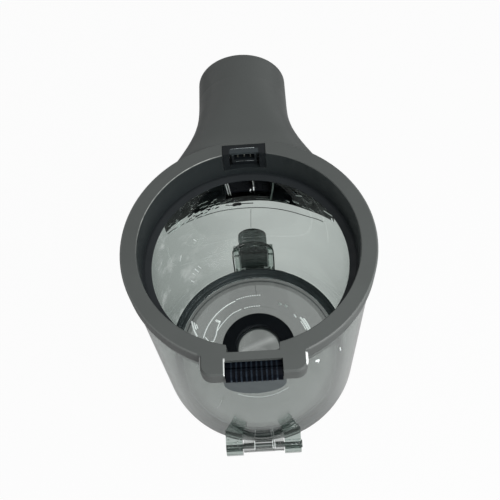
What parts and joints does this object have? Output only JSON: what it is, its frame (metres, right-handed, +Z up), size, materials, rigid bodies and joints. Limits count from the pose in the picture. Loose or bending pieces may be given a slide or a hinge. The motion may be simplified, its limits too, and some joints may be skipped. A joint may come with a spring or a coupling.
{
  "type": "vacuum cyclone dust bin",
  "caption": "Clear round dust bin of a cordless cyclone vacuum: grey collar with side inlet tube, ribbed release button, hinged bottom lid with seal and a rear latch.",
  "frame": {"origin": "on the bin's axis at the bottom face of the closed lid, which the bin stands on", "axes": "+Z up along the bin's axis, +Y along the inlet tube towards its mouth, button and lid hinge on the -Y side"},
  "size_m": [0.112, 0.1765, 0.1242],
  "materials": {
    "grey_housing": "satin moulded",
    "carrier_grey": "satin moulded",
    "clear_bin": "clear, lightly smoked",
    "clear_lid": "clear, lightly smoked",
    "clear_latch": "clear, lightly smoked",
    "dark_duct": "satin moulded",
    "black_plastic": "satin moulded",
    "button_black": "ribbed",
    "dark_rubber": "matte",
    "black_rubber": "matte",
    "steel": "bright",
    "wire_cover": "soft sleeve",
    "contact_metal": "plated"
  },
  "bodies": {
    "bin": {"collar_housing": "grey_housing", "neck_cover": "grey_housing", "button_carrier": "carrier_grey", "bin_shell": "clear_bin", "inlet_duct": "dark_duct", "wand_sleeve": "dark_duct", "port_vane": "dark_duct", "connector_body": "black_plastic", "wand_contact_block": "black_plastic", "collar_seal": "dark_rubber", "inlet_gasket": "dark_rubber", "hinge_pin": "steel", "latch_pin": "steel", "button_spring": "steel", "latch_spring": "steel", "cover_screws": "steel", "wire_1": "wire_cover", "wire_2": "wire_cover", "wire_3": "wire_cover", "connector_blade_1": "contact_metal", "connector_blade_2": "contact_metal", "connector_blade_3": "contact_metal", "wand_contact_1": "contact_metal", "wand_contact_2": "contact_metal", "wand_contact_3": "contact_metal"},
    "lid": {"bottom_lid": "clear_lid", "lid_gasket": "black_rubber", "centre_seal": "black_rubber"},
    "latch": {"latch_lever": "clear_latch"},
    "button": {"release_button": "button_black"}
  },
  "joints": [
    {"name": "lid_hinge", "type": "hinge", "parent": "bin", "child": "lid", "pos_m": [0, -0.0576, 0.0032], "axis": [-1, 0, 0], "range_deg": [0, 95]},
    {"name": "latch_pivot", "type": "hinge", "parent": "bin", "child": "latch", "pos_m": [0, 0.0582, 0.018], "axis": [1, 0, 0], "range_deg": [0, 4.5], "stiffness_Nm_per_rad": 0.6, "springref_deg": -4.58, "deforming": ["latch_spring"]},
    {"name": "button_slide", "type": "slide", "parent": "bin", "child": "button", "axis": [0, 1, 0], "range_m": [0, 0.002], "stiffness_N_per_m": 1500, "springref_m": -0.0012, "deforming": ["button_spring"]}
  ]
}
